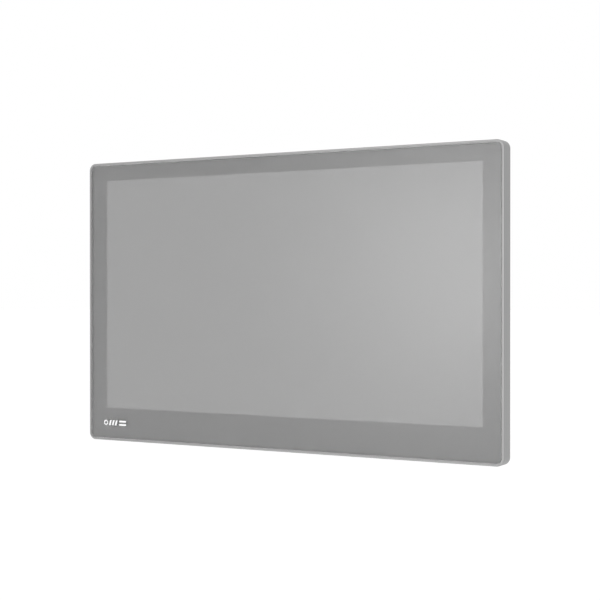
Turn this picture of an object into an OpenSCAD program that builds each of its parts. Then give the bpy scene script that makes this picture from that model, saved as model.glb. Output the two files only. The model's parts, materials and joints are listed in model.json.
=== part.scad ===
// Wide-screen touch panel for a machine or cabinet door.
// Axes: +X to the viewer's right, +Y from the front glass to the rear, +Z up.
// Origin: centre of the rear bolt pattern, on the rear face. Depths are counted from the front face.

/* [Front frame] */
// Width of the front frame
frame_w = 379; // [376:1:400]
// Height of the front frame
frame_h = 236; // [234:1:250]
// Depth of the front frame, front face to mounting flange
frame_d = 12; // [12:0.5:16]
// Corner radius of the front frame
frame_r = 6; // [5:0.5:9]
// Thickness of the metal rim round the glass
rim_t = 1.5; // [1.2:0.1:2.5]
// Width of the sealed joint between rim and glass
seal_gap = 0.6; // [0.4:0.1:1]

/* [Glass and display] */
// Thickness of the cover glass
glass_t = 3; // [2:0.5:3]
// Width of the lit area
active_w = 344.2; // [340:0.1:345]
// Height of the lit area
active_h = 193.6; // [190:0.1:195]
// How far the lit area's centre sits above the frame's centre
active_up = 6.3; // [5:0.1:7]

/* [Rear housing] */
// Width of the rear housing
housing_w = 350; // [350:1:352]
// Height of the rear housing
housing_h = 208; // [207:1:209]
// Depth of the rear housing behind the flange
housing_d = 32; // [32:1:36]
// Bend and corner radius of the rear housing
housing_r = 2.5; // [2:0.5:4]
// Thickness of the housing's steel sheet
sheet_t = 1.2; // [1.2:0.1:1.3]

/* [Panel clamps] */
// Distance between neighbouring clamps, the same above and below
clamp_pitch = 120; // [112:1:128]
// Distance of a clamp screw's axis from the housing's wall
clamp_reach = 7; // [6.6:0.1:8]
// Width of a clamp
clamp_w = 14; // [12:1:18]

/* [Hidden] */
$fn = 48;
slack = 0.02;                        // room between pieces that only touch
front_y = -(frame_d + housing_d);    // Y of the front face
rim_in_w = frame_w - 2 * rim_t;
rim_in_h = frame_h - 2 * rim_t;
glass_w = rim_in_w - 2 * seal_gap;
glass_h = rim_in_h - 2 * seal_gap;
glass_r = frame_r - rim_t - seal_gap;

// Depths of the layers behind the glass
mask_d = glass_t + 0.05;             // printed border
mask_t = 0.05;
sensor_d = mask_d + mask_t;          // touch sensor
sensor_t = 0.7;
cell_d = sensor_d + sensor_t + 0.5;  // liquid crystal cell
cell_t = 1.2;
films_d = cell_d + cell_t + 0.4;
guide_d = films_d + 0.75;
guide_t = 2;
reflector_d = guide_d + guide_t + 0.1;
module_t = 5.6;                      // whole display module
back_t = 0.6;                        // its steel back
floor_d = cell_d + module_t + 0.3;   // floor of the frame

// The display module sits a little high in the frame
module_w = 359.5;
module_h = 209.6;
module_up = 3.3;
cell_w = 350.6;
cell_h = 202.6;
cell_up = 4.4;
pocket_play = 0.5;
opening_w = 310;                     // hole through the frame's floor
opening_h = 176;

// Sealing groove and gasket on the flange
groove_w = 5;
groove_t = 1.5;
groove_out_w = frame_w - 6;
groove_out_h = frame_h - 5.8;
groove_r = 5;
gasket_t = 2.5;

// Ring on the frame's back that the housing slides over
ring_play = 0.1;
ring_t = 2.5;
ring_h = 8;
ring_w = housing_w - 2 * (sheet_t + ring_play);
ring_hh = housing_h - 2 * (sheet_t + ring_play);
wall_screw_d = frame_d + 4;
wall_screw_x = [-165, -60, 60, 165];
wall_screw_z = [-70, 70];

// Inner plate and circuit boards
plate_d = frame_d + 2;
plate_t = 1.2;
plate_w = 339;
plate_h = 196;
boss_at = [[-163, 90], [-55, 95.5], [55, 95.5], [163, 90], [-163, 0], [163, 0],
           [-163, -90], [-55, -92.5], [55, -92.5], [163, -90]];
board_d = plate_d + plate_t + 5;
board_t = 1.6;
board_top = board_d + board_t;
board_low = -housing_h / 2 + 2.6;
scaler_box = [12, board_low, 92, 79];     // x, z, width, height
power_box = [-108, board_low, 98, 60];
touch_box = [-140, -10, 52, 34];
standoff_at = [[16, -95], [100, -95], [16, -26.5], [100, -26.5],
               [-104, -95], [-14, -95], [-104, -45.5], [-14, -45.5],
               [-136, -6], [-92, -6], [-136, 20], [-92, 20]];

// Keys on the rear face
key_names = ["key_menu", "key_down", "key_up", "key_select", "key_power"];
key_pitch = 11;
key_first_x = -157.5;
key_z = -80;
key_w = 8;
key_h = 5;
key_r = 2;
key_play = 0.2;                       // room round a key in its window
key_lip = 0.8;                        // flange behind the sheet
key_proud = 1.2;
key_travel = 0.5;
key_screw_x = [-166, -103];
switch_t = 2.4;
rear_d = frame_d + housing_d;         // depth of the rear face
skin_d = rear_d - sheet_t;            // inside of the rear sheet
key_board_d = skin_d - 6.8;

// Hole spacings of the two rear bolt patterns
vesa_large = 100;
vesa_small = 75;

// Sockets and controls in the bottom wall
low_z = -housing_h / 2;               // outside of the bottom wall
terminal_x = -88;
rocker_x = -50;
ground_x = -22;
vga_x = 35;
hdmi_x = 66;
usb_x = 90;
terminal_d = board_top + 5;           // depths of their centres
rocker_d = board_top + 9.2;
ground_d = board_top + 8.2;
vga_d = board_top + 6.5;
hdmi_d = board_top + 3;
usb_d = board_top + 5.5;
rocker_tilt = 7;
pole_pitch = 5.08;
vga_screw_x = 12.5;                   // screws beside the fifteen-way socket

// Small screws and threads
pan_head_r = 2.7;
pan_head_t = 1.8;
m3_r = 1.46;
m3_hole_r = 1.5;
cross_w = 0.7;                        // slots of a cross recess
flat_head_t = 1.3;

// Rear face: bolt inserts, vents and the blank plate
bolt_r = 2;
insert_r = 2.95;
insert_flange_r = 4.2;
insert_hole_r = 3;
vent_pitch = 12;
vent_l = 11;
vent_w = 3;
label_at = [122, -46];
label_w = 54;
label_h = 34;

// Clamps
clamp_x = [-clamp_pitch, 0, clamp_pitch];
clamp_names = ["upper_left", "upper_middle", "upper_right",
               "lower_left", "lower_middle", "lower_right"];
lug_d = 28;
lug_t = 6;
clamp_front_d = 22;
clamp_back_d = 40;
pad_d = 19;
pad_t = 3;
pad_r = 4;
thread_r = 2;
head_r = 3.5;
head_t = 3.8;
screw_tip_d = pad_d + 1.2;
screw_head_d = screw_tip_d + 20;
hook_at = [29, 38];                   // rear edges of the two slots

// ---- shared shapes ----

// Extrudes an outline drawn in X and Z from depth a to depth b
module slab(a, b)
    translate([0, front_y + b, 0]) rotate([90, 0, 0]) linear_extrude(b - a) children();

// Rectangle with round corners, centred
module round_rect(w, h, r) {
    square([w - 2 * r, h], center = true);
    square([w, h - 2 * r], center = true);
    for (x = [-1, 1], y = [-1, 1])
        translate([x * (w / 2 - r), y * (h / 2 - r)]) circle(r);
}

// Box from depth a to b with round corners and a round edge at b
module pressed_block(w, h, r, a, b) {
    x_in = w / 2 - r;
    z_in = h / 2 - r;
    slab(a, b - r) round_rect(w, h, r);
    slab(a, b) square([2 * x_in, 2 * z_in], center = true);
    translate([0, front_y + b - r, 0]) for (side = [-1, 1]) {
        translate([-x_in, 0, side * z_in]) rotate([0, 90, 0]) cylinder(r = r, h = 2 * x_in);
        translate([side * x_in, 0, -z_in]) cylinder(r = r, h = 2 * z_in);
        for (up = [-1, 1]) translate([side * x_in, 0, up * z_in]) sphere(r);
    }
}

// Slot with round ends, along X
module long_hole(length, width) {
    square([length - width, width], center = true);
    for (x = [-1, 1]) translate([x * (length - width) / 2, 0]) circle(width / 2);
}

// Box from depth a to b: x and z are the lowest corner, w and h its size
module block(x, z, w, h, a, b)
    translate([x, front_y + a, z]) cube([w, b - a, h]);

// Round bar along Y at (x, z), from depth a to b
module bar(x, z, r, a, b)
    translate([x, front_y + b, z]) rotate([90, 0, 0]) cylinder(r = r, h = b - a);

// Round bar along Z at (x, depth), from z = low up
module post(x, d, r, low, h)
    translate([x, front_y + d, low]) cylinder(r = r, h = h);

// Pan-head screw along Y: x, z, depth of its seat, length of its shank towards the front
module pan_screw(x, z, seat, shank) {
    difference() {
        bar(x, z, pan_head_r, seat, seat + pan_head_t);
        for (turn = [0, 90]) translate([x, front_y + seat + pan_head_t / 2, z])
            rotate([0, turn, 0]) translate([-1.9, 0, -cross_w / 2]) cube([3.8, 2, cross_w]);
    }
    bar(x, z, m3_r, seat - shank, seat);
}

// Strip of constant thickness that follows points (across, depth), extruded along the third axis
function left_of(p, q, t) =
    let (v = q - p, n = norm(v)) [-v[1], v[0]] / n * t / 2;
function side_points(path, t) = [for (i = [0:len(path) - 1])
    let (a = left_of(path[max(i - 1, 0)], path[max(i, 1)], t),
         last = len(path) - 1,
         b = left_of(path[min(i, last - 1)], path[min(i + 1, last)], t),
         m = a + b)
    path[i] + m * (t * t / 2) / (m * m)];
function reversed(list) = [for (i = [len(list) - 1:-1:0]) list[i]];
function strip_outline(path, t) =
    concat(side_points(path, t), side_points(reversed(path), t));

// ---- front ----

module front_frame() color([0.62, 0.62, 0.63]) {
    difference() {
        union() {
            slab(0, frame_d) round_rect(frame_w, frame_h, frame_r);
            slab(frame_d - 1, frame_d + ring_h)
                round_rect(ring_w, ring_hh, housing_r - sheet_t);
        }
        slab(-1, cell_d) round_rect(rim_in_w, rim_in_h, frame_r - rim_t);
        slab(cell_d - 1, floor_d) translate([0, module_up])
            round_rect(module_w + 2 * pocket_play, module_h + 2 * pocket_play, 1);
        slab(floor_d - 1, frame_d + 1) translate([0, module_up])
            round_rect(opening_w, opening_h, 6);
        slab(frame_d, frame_d + ring_h + 1)
            round_rect(ring_w - 2 * ring_t, ring_hh - 2 * ring_t, 1);
        slab(frame_d - groove_t, frame_d + 0.01) difference() {
            round_rect(groove_out_w, groove_out_h, groove_r);
            round_rect(groove_out_w - 2 * groove_w, groove_out_h - 2 * groove_w, 2);
        }
        wall_screw_holes(1.5, 7);
    }
    difference() {
        for (p = boss_at) bar(p[0], p[1], 3.2, frame_d - 0.5, plate_d);
        for (p = boss_at) bar(p[0], p[1], 1.5, frame_d - 1, plate_d + 1);
    }
}

// Holes along X and Z for the screws that hold the housing on the frame's ring
module wall_screw_holes(r, depth) {
    for (x = wall_screw_x, side = [-1, 1])
        post(x, wall_screw_d, r, side > 0 ? housing_h / 2 - depth : -housing_h / 2 - 1,
             depth + 1);
    for (z = wall_screw_z, side = [-1, 1])
        translate([side > 0 ? housing_w / 2 - depth : -housing_w / 2 - 1,
                   front_y + wall_screw_d, z])
            rotate([0, 90, 0]) cylinder(r = r, h = depth + 1);
}

module cover_glass() color([0.75, 0.77, 0.78, 0.4])
    slab(0, glass_t) round_rect(glass_w, glass_h, glass_r);

module border_mask() color([0.54, 0.54, 0.54])
    slab(mask_d, sensor_d) difference() {
        round_rect(glass_w, glass_h, glass_r);
        translate([0, active_up]) square([active_w, active_h], center = true);
    }

module glass_seal() color([0.5, 0.5, 0.5])
    slab(0.5, glass_t) difference() {
        round_rect(rim_in_w - 2 * slack, rim_in_h - 2 * slack, frame_r - rim_t - slack);
        round_rect(glass_w + 2 * slack, glass_h + 2 * slack, glass_r + slack);
    }

module glass_tape() color([0.12, 0.12, 0.12])
    slab(sensor_d, cell_d) difference() {
        round_rect(glass_w - 1, glass_h - 1, glass_r);
        translate([0, module_up])
            square([module_w + 2, module_h + 2], center = true);
    }

module touch_sensor() color([0.8, 0.82, 0.84, 0.5])
    slab(sensor_d, sensor_d + sensor_t) translate([0, module_up])
        square([module_w - 1.5, module_h - 1.6], center = true);

module optical_adhesive() color([0.85, 0.87, 0.88, 0.4])
    slab(sensor_d + sensor_t, cell_d) translate([0, active_up])
        square([active_w, active_h], center = true);

// ---- display module ----

module lcd_cell() color([0.66, 0.66, 0.66])
    slab(cell_d, cell_d + cell_t) translate([0, cell_up])
        square([cell_w, cell_h], center = true);

module lcd_mid_frame() color([0.15, 0.15, 0.15])
    difference() {
        slab(cell_d, cell_d + module_t - back_t) translate([0, module_up])
            round_rect(module_w, module_h, 1);
        slab(cell_d - 1, cell_d + cell_t) translate([0, cell_up])
            square([cell_w + 0.4, cell_h + 0.4], center = true);
        slab(cell_d, cell_d + module_t) translate([0, active_up])
            square([active_w + 1.8, active_h + 2.4], center = true);
    }

module optical_films() color([0.93, 0.93, 0.9, 0.8])
    for (i = [0:2])
        slab(films_d + i * 0.23, films_d + i * 0.23 + 0.2) translate([0, active_up])
            square([active_w + 1.2, active_h + 1.8], center = true);

module light_guide() color([0.9, 0.93, 0.94, 0.5])
    slab(guide_d, guide_d + guide_t) translate([0, active_up + 0.7])
        square([active_w + 1.2, active_h + 0.4], center = true);

module led_strip() color([0.9, 0.85, 0.3]) {
    low = active_up - active_h / 2 - 1;
    block(-active_w / 2 + 2, low, active_w - 4, 0.6, guide_d, guide_d + guide_t);
    for (i = [0:35])
        block(-active_w / 2 + 6 + i * 9.3, low + 0.55, 4.6, 0.8,
              guide_d + 0.3, guide_d + 1.7);
}

module reflector_sheet() color([0.97, 0.97, 0.97])
    slab(reflector_d, reflector_d + 0.2) translate([0, active_up])
        square([active_w + 1.2, active_h + 1.8], center = true);

module lcd_chassis() color([0.7, 0.71, 0.72])
    slab(cell_d + module_t - back_t, cell_d + module_t) translate([0, module_up])
        difference() {
            round_rect(module_w - 1, module_h - 1, 1);
            for (x = [-130:52:130], z = [-50, 50]) translate([x, z]) circle(2);
        }

// Narrow driver board on the back of the display module
module driver_board() color([0.1, 0.35, 0.2]) {
    a = cell_d + module_t;
    block(-140, -81, 280, 14, a, a + 0.8);
    for (x = [-110:44:110]) block(x - 6, -77, 12, 5, a + 0.75, a + 1.6);
    block(52, -79, 22, 4, a + 0.75, a + 2.4);
}

module panel_gasket() color([0.1, 0.1, 0.1])
    slab(frame_d - groove_t, frame_d - groove_t + gasket_t) difference() {
        round_rect(groove_out_w - 0.2, groove_out_h - 0.2, groove_r);
        round_rect(groove_out_w - 2 * groove_w + 0.2,
                   groove_out_h - 2 * groove_w + 0.2, 2);
    }

// ---- inside the housing ----

module chassis_plate() color([0.72, 0.73, 0.74])
    slab(plate_d, plate_d + plate_t) difference() {
        round_rect(plate_w, plate_h, 4);
        for (p = boss_at) translate(p) circle(1.7);
        for (p = standoff_at) translate(p) circle(1.5);
        for (x = [-130:52:130]) translate([x, 60]) long_hole(34, 14);
        translate([63, -77]) square([30, 16], center = true);
        translate([-147, 8]) square([8, 20], center = true);
    }

module inner_screws() color([0.78, 0.78, 0.76]) {
    for (p = boss_at) pan_screw(p[0], p[1], plate_d + plate_t, 2.6);
    for (p = standoff_at) pan_screw(p[0], p[1], board_top, 4);
    for (x = key_screw_x) pan_screw_forward(x, key_z, key_board_d);
}

// The same the other way round, its shank towards the rear
module pan_screw_forward(x, z, seat) {
    bar(x, z, 2.2, seat - 1.6, seat);
    bar(x, z, 1.2, seat, seat + 4);
}

module board_standoffs() color([0.8, 0.7, 0.4]) {
    for (p = standoff_at) difference() {
        bar(p[0], p[1], 2.75, plate_d + plate_t, board_d);
        bar(p[0], p[1], 1.5, plate_d + plate_t - 1, board_d + 1);
    }
    for (x = key_screw_x) difference() {
        bar(x, key_z, 2.5, key_board_d + board_t, skin_d);
        bar(x, key_z, 1.25, key_board_d, skin_d - 1);
    }
}

// Bare board with its screw holes: box is [x, z, width, height]
module bare_board(box, a)
    difference() {
        block(box[0], box[1], box[2], box[3], a, a + board_t);
        for (p = standoff_at) bar(p[0], p[1], 1.6, a - 1, a + board_t + 1);
    }

module scaler_board() color([0.09, 0.34, 0.18]) bare_board(scaler_box, board_d);

module power_board() color([0.09, 0.34, 0.18]) bare_board(power_box, board_d);

module touch_board() color([0.09, 0.3, 0.4]) bare_board(touch_box, board_d);

// Chips, coils and board connectors, each standing on its board
module board_chips() color([0.13, 0.13, 0.14]) {
    chips = [[72, -48, 14, 14, 1.4], [28, -72, 10, 10, 1.2], [84, -74, 8, 6, 1.2],
             [30, -36, 9, 5, 1.1], [78, -30, 16, 5, 3.2],
             [-70, -52, 12, 12, 6], [-34, -70, 8, 7, 2.4], [-24, -54, 12, 12, 5],
             [49, -53, 16, 16, 1.5],
             [-118, 6, 9, 9, 1.2], [-138.5, 6, 3, 14, 2.2], [-96, 6, 4, 9, 2.2]];
    for (c = chips)
        block(c[0] - c[2] / 2, c[1] - c[3] / 2, c[2], c[3], board_top, board_top + c[4]);
    block(51, -60, 24, 4, board_d - 1.6, board_d);
}

module capacitors() color([0.16, 0.17, 0.3]) {
    cans = [[-92, -66, 4, 12], [-80, -70, 4, 12], [-50, -72, 3.2, 9], [-92, -52, 3.2, 9],
            [20, -50, 2.6, 6], [20, -42, 2.6, 6], [94, -52, 2.6, 6], [94, -42, 2.6, 6],
            [50, -32, 3.2, 8]];
    for (c = cans) bar(c[0], c[1], c[2], board_top, board_top + c[3]);
}

module heat_sink() color([0.68, 0.69, 0.7]) {
    base = board_top + 1.5;
    block(38, -64, 22, 22, base, base + 1);
    for (i = [0:7]) block(38 + i * 2.97, -64, 1.2, 22, base + 0.9, base + 8);
}

// Flat cable from the sensor's edge, round the display module, to the touch board
module touch_fpc() color([0.75, 0.5, 0.2]) {
    edge = -(module_w - 1.5) / 2;
    path = [[edge, sensor_d + 0.35], [edge - 1, sensor_d + 0.35],
            [edge - 1, floor_d - 0.15], [-152, floor_d - 0.15],
            [-147, plate_d + 3], [-143, board_top + 1], [-140.2, board_top + 1]];
    translate([0, front_y, 0]) linear_extrude(12)
        polygon(strip_outline(path, 0.16));
}

// Flat cable from the scaler board to the driver board
module lvds_ribbon() color([0.85, 0.85, 0.82]) {
    a = cell_d + module_t + 2.4;
    path = [[-78, a + 0.25], [-81, a + 0.25], [-83.5, board_d - 3], [-83.5, board_d - 1],
            [-80, board_d - 0.4], [-60, board_d - 0.4]];
    translate([52, front_y, 0]) rotate([90, 0, 90]) linear_extrude(22)
        polygon([for (p = strip_outline(path, 0.4)) [p[1], p[0]]]);
}

// ---- sockets in the bottom wall ----

// Open metal shell with a tongue: x, depth of its middle, width, height, length up from the wall
module socket_shell(x, d, w, h, deep, t)
    difference() {
        block(x - w / 2, low_z - 0.3, w, deep, d - h / 2, d + h / 2);
        block(x - w / 2 + t, low_z - 1.3, w - 2 * t, deep - t, d - h / 2 + t, d + h / 2 - t);
    }

module hdmi_port() color([0.75, 0.75, 0.72]) {
    socket_shell(hdmi_x, hdmi_d, 15, 6, 12, 0.4);
    block(hdmi_x - 5.5, low_z + 2, 11, 9.6, hdmi_d - 0.9, hdmi_d + 0.9);
}

module usb_port() color([0.75, 0.75, 0.72]) {
    socket_shell(usb_x, usb_d, 12, 11, 15, 0.5);
    block(usb_x - 2.6, low_z + 2, 5.2, 12.6, usb_d - 1.6, usb_d + 1.6);
}

// Fifteen-way socket: flange on the wall, raised shell and insulator with its holes
module vga_port() color([0.3, 0.34, 0.62])
    difference() {
        union() {
            block(vga_x - 15.4, low_z + sheet_t + slack, 30.8, 1, vga_d - 6.2, vga_d + 6.2);
            translate([vga_x, front_y + vga_d, low_z - 5]) linear_extrude(14)
                round_rect(16.6, 8.3, 2);
            block(vga_x - 15.4, low_z + 2.1, 30.8, 9, vga_d - 6.5, vga_d + 5.5);
        }
        for (row = [-1:1], i = [-2:2])
            post(vga_x + i * 2.29 + row * 0.76, vga_d + row * 1.98, 0.5, low_z - 6, 5);
        for (side = [-1, 1]) post(vga_x + side * vga_screw_x, vga_d, m3_hole_r, low_z, 9);
    }

module vga_standoffs() color([0.78, 0.78, 0.78])
    for (x = [vga_x - vga_screw_x, vga_x + vga_screw_x]) difference() {
        union() {
            translate([x, front_y + vga_d, low_z - 4.8])
                cylinder(r = 2.75, h = 4.8 - slack, $fn = 6);
            post(x, vga_d, m3_r, low_z - 1, 8);
        }
        post(x, vga_d, 1.1, low_z - 5.8, 5);
    }

module terminal_header() color([0.25, 0.42, 0.3]) {
    difference() {
        block(terminal_x - 7, low_z - 0.6, 14, 12, terminal_d - 5, terminal_d + 5);
        block(terminal_x - 6, low_z - 1.6, 12, 11, terminal_d - 4, terminal_d + 4);
    }
    for (side = [-1, 1])
        post(terminal_x + side * pole_pitch / 2, terminal_d, 0.4, low_z + 0.5, 9.2);
}

// Frame of the rocker switch: flange outside, body inside, bearings for the paddle
module rocker_bezel() color([0.12, 0.12, 0.13])
    difference() {
        union() {
            block(rocker_x - 10.5, low_z - 1.5, 21, 1.5 - slack, rocker_d - 7.5, rocker_d + 7.5);
            block(rocker_x - 9.6, low_z - 1, 19.2, 12, rocker_d - 6.4, rocker_d + 6.4);
        }
        block(rocker_x - 8.8, low_z - 2.5, 17.6, 11, rocker_d - 5.2, rocker_d + 5.2);
        bar(rocker_x, low_z, 1.05, rocker_d - 6, rocker_d + 6);
    }

// Paddle: two faces in a shallow V, held pressed at its left end, on a cross pin
module rocker_paddle() color([0.08, 0.08, 0.09])
    translate([rocker_x, front_y + rocker_d, low_z]) rotate([0, rocker_tilt, 0]) {
        rotate([90, 0, 0]) linear_extrude(10, center = true)
            polygon([[-8.4, -2.6], [0, -1.7], [8.4, -2.6], [8.2, 1.5], [3, 3.5],
                     [-3, 3.5], [-8.2, 1.5]]);
        rotate([90, 0, 0]) cylinder(r = 1, h = 11.6, center = true);
    }

// ---- rear keys ----

function key_x(i) = key_first_x + i * key_pitch;

module key_board() color([0.09, 0.34, 0.18])
    difference() {
        block(-171, key_z - 7, 73, 14, key_board_d, key_board_d + board_t);
        for (x = key_screw_x) bar(x, key_z, 1.3, key_board_d - 1, key_board_d + 3);
    }

module key_switches() color([0.2, 0.2, 0.2])
    for (i = [0:4]) {
        x = key_x(i);
        block(x - 3, key_z - 3, 6, 6, key_board_d + board_t,
              key_board_d + board_t + switch_t);
    }

// Cap with a flange behind the sheet and a stem that meets its switch
module key_cap(i) color([0.2, 0.2, 0.21]) {
    x = key_x(i);
    plunger = key_board_d + board_t + switch_t + key_travel + 0.1;
    slab(skin_d - 1, rear_d + key_proud) translate([x, key_z])
        round_rect(key_w, key_h, key_r);
    slab(skin_d - 1, skin_d - 0.05) translate([x, key_z])
        round_rect(key_w + 2 * key_lip, key_h + 2 * key_lip, key_r + 0.5);
    bar(x, key_z, 1.5, plunger, skin_d - 0.5);
}

// ---- housing ----

module rear_housing() color([0.6, 0.6, 0.61])
    difference() {
        pressed_block(housing_w, housing_h, housing_r, frame_d, rear_d);
        pressed_block(housing_w - 2 * sheet_t, housing_h - 2 * sheet_t, housing_r - sheet_t,
                      frame_d - 1, skin_d);
        slab(skin_d - 1, rear_d + 1) rear_cutouts();
        bottom_cutouts();
        clamp_slots();
        wall_screw_holes(1.6, 3);
        wall_countersinks();
        top_vents();
    }

// Slots of the top wall, left out round each clamp
module top_vents()
    for (x = [-150:15:150]) if (abs(abs(x) - clamp_pitch) > 10 && abs(x) > 10)
        translate([x, front_y + lug_d + 3, housing_h / 2 - 2])
            linear_extrude(4) rotate(90) long_hole(14, vent_w);

// Vents, key windows and bolt holes of the rear sheet
module rear_cutouts() {
    for (x = [-150:vent_pitch:150], z = [72, 86])
        translate([x, z]) rotate(90) long_hole(vent_l, vent_w);
    for (x = [-90:vent_pitch:150]) translate([x, -82]) rotate(90) long_hole(vent_l, vent_w);
    for (i = [0:4]) translate([key_x(i), key_z])
        round_rect(key_w + 2 * key_play, key_h + 2 * key_play, key_r + key_play);
    for (p = vesa_points()) translate(p) circle(insert_hole_r);
}

function vesa_points() = [for (s = [vesa_large, vesa_small], x = [-1, 1], z = [-1, 1])
    [x * s / 2, z * s / 2]];

// Windows of the bottom wall, one for each socket and control
module bottom_window(x, d, w, h)
    block(x - w / 2, low_z - 1, w, sheet_t + 2, d - h / 2, d + h / 2);

module bottom_cutouts() {
    bottom_window(terminal_x, terminal_d, 14.4, 10.4);
    bottom_window(rocker_x, rocker_d, 19.6, 13.2);
    bottom_window(hdmi_x, hdmi_d, 15.4, 6.4);
    bottom_window(usb_x, usb_d, 12.4, 11.4);
    translate([vga_x, front_y + vga_d, low_z - 1]) linear_extrude(4)
        round_rect(17, 8.7, 2.2);
    for (side = [-1, 1]) post(vga_x + side * vga_screw_x, vga_d, 1.6, low_z - 1, 4);
    post(ground_x, ground_d, 1.9, low_z - 1, 4);
}

module clamp_slots()
    for (x = clamp_x, rear = hook_at, side = [-1, 1])
        translate([x - 3, front_y + rear - 5, side * (housing_h / 2 - sheet_t / 2) - 2])
            cube([6, 5, 4]);

// Countersinks for the wall screws
module wall_countersinks() {
    for (x = wall_screw_x, side = [-1, 1])
        translate([x, front_y + wall_screw_d, side * housing_h / 2])
            rotate([side > 0 ? 180 : 0, 0, 0]) countersink();
    for (z = wall_screw_z, side = [-1, 1])
        translate([side * housing_w / 2, front_y + wall_screw_d, z])
            rotate([0, side > 0 ? -90 : 90, 0]) countersink();
}

// Cone from the sheet's outside inwards, along +Z
module countersink()
    translate([0, 0, -0.001]) cylinder(r1 = 2.85, r2 = 1.55, h = flat_head_t);

// Flat-head screw along +Z with its head flush at z = 0
module flat_screw()
    difference() {
        union() {
            cylinder(r1 = 2.75, r2 = 1.45, h = flat_head_t);
            cylinder(r = 1.45, h = 5);
        }
        for (turn = [0, 90]) rotate(turn) translate([-1.5, -0.3, -1]) cube([3, 0.6, 1.8]);
    }

module housing_screws() color([0.75, 0.75, 0.74]) {
    for (x = wall_screw_x, side = [-1, 1])
        translate([x, front_y + wall_screw_d, side * (housing_h / 2 - slack)])
            rotate([side > 0 ? 180 : 0, 0, 0]) flat_screw();
    for (z = wall_screw_z, side = [-1, 1])
        translate([side * (housing_w / 2 - slack), front_y + wall_screw_d, z])
            rotate([0, side > 0 ? -90 : 90, 0]) flat_screw();
}

module vesa_inserts() color([0.78, 0.78, 0.76])
    for (p = vesa_points()) difference() {
        union() {
            bar(p[0], p[1], insert_flange_r, skin_d - 4, skin_d);
            bar(p[0], p[1], insert_r, skin_d - 0.5, rear_d);
        }
        bar(p[0], p[1], bolt_r, skin_d - 5, rear_d + 1);
    }

// Blank metal plate riveted flat on the rear sheet
module rating_plate() color([0.8, 0.8, 0.81])
    slab(rear_d, rear_d + 0.4) translate(label_at) difference() {
        round_rect(label_w, label_h, 2);
        for (x = [-1, 1], z = [-1, 1])
            translate([x * (label_w / 2 - 3), z * (label_h / 2 - 3)]) circle(1.1);
    }

// Earthing screw with its washer and the nut inside
module ground_screw() color([0.8, 0.75, 0.45]) {
    post(ground_x, ground_d, 4.5, low_z - 0.8 - slack, 0.8);
    difference() {
        post(ground_x, ground_d, 3.6, low_z - 3.2, 2.4);
        translate([ground_x - 4, front_y + ground_d - 0.4, low_z - 4]) cube([8, 0.8, 1.9]);
    }
    post(ground_x, ground_d, 1.8, low_z - 1, 7);
    translate([ground_x, front_y + ground_d, low_z + sheet_t + slack])
        cylinder(r = 4, h = 3, $fn = 6);
}

// ---- panel clamps ----

function clamp_side(i) = i < 3 ? 1 : -1;
function clamp_at(i) = clamp_x[i % 3];

// Places a clamp drawn for the top wall at clamp i
module at_clamp(i)
    translate([clamp_at(i), 0, 0]) mirror([0, 0, clamp_side(i) > 0 ? 0 : 1])
        translate([0, 0, housing_h / 2]) children();

module clamp_arms() color([0.66, 0.66, 0.67])
    for (i = [0:5]) at_clamp(i) clamp_arm();

// Arm with two hooks through the wall and a tapped lug
module clamp_arm()
    difference() {
        union() {
            block(-clamp_w / 2, slack, clamp_w, 2.5, clamp_front_d, clamp_back_d);
            block(-clamp_w / 2, slack, clamp_w, clamp_reach + 4, lug_d, lug_d + lug_t);
            for (x = [-clamp_w / 2, clamp_w / 2 - 2])
                translate([x, 0, 0]) rotate([90, 0, 90]) linear_extrude(2)
                    polygon([[front_y + lug_d + lug_t - 0.5, 2], [front_y + clamp_back_d, 2.4],
                             [front_y + lug_d + lug_t - 0.5, 8.5]]);
            for (rear = hook_at) {
                block(-2.5, -1.35, 5, 2, rear - 2, rear - 0.05);
                block(-2.5, -2.6, 5, 1.3, rear - 2, rear + 2);
            }
        }
        bar(0, clamp_reach, thread_r + 0.05, lug_d - 1, clamp_back_d + 1);
    }

// Cap screw with a hexagon socket
module clamp_screw(i) color([0.72, 0.72, 0.73])
    at_clamp(i) {
        bar(0, clamp_reach, thread_r, screw_tip_d, screw_head_d + 0.1);
        difference() {
            bar(0, clamp_reach, head_r, screw_head_d, screw_head_d + head_t);
            translate([0, front_y + screw_head_d + head_t + 1, clamp_reach])
                rotate([90, 0, 0]) cylinder(r = 1.75, h = 3.2, $fn = 6);
        }
    }

// Pressure pad that the screw's tip turns in
module clamp_pad(i) color([0.15, 0.15, 0.16])
    at_clamp(i) difference() {
        bar(0, clamp_reach, pad_r, pad_d, pad_d + pad_t);
        bar(0, clamp_reach, thread_r + 0.05, pad_d + 1.15, pad_d + pad_t + 1);
    }

// ---- what is drawn ----

front_frame();
cover_glass();
border_mask();
glass_seal();
glass_tape();
touch_sensor();
optical_adhesive();
lcd_cell();
lcd_mid_frame();
optical_films();
light_guide();
led_strip();
reflector_sheet();
lcd_chassis();
driver_board();
panel_gasket();
chassis_plate();
inner_screws();
board_standoffs();
scaler_board();
power_board();
touch_board();
board_chips();
capacitors();
heat_sink();
touch_fpc();
lvds_ribbon();
hdmi_port();
vga_port();
vga_standoffs();
usb_port();
terminal_header();
rocker_bezel();
rocker_paddle();
key_board();
key_switches();
rear_housing();
housing_screws();
vesa_inserts();
rating_plate();
ground_screw();
clamp_arms();
for (i = [0:4]) key_cap(i);
for (i = [0:5]) {
    clamp_screw(i);
    clamp_pad(i);
}
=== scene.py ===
import json
import math

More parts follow.
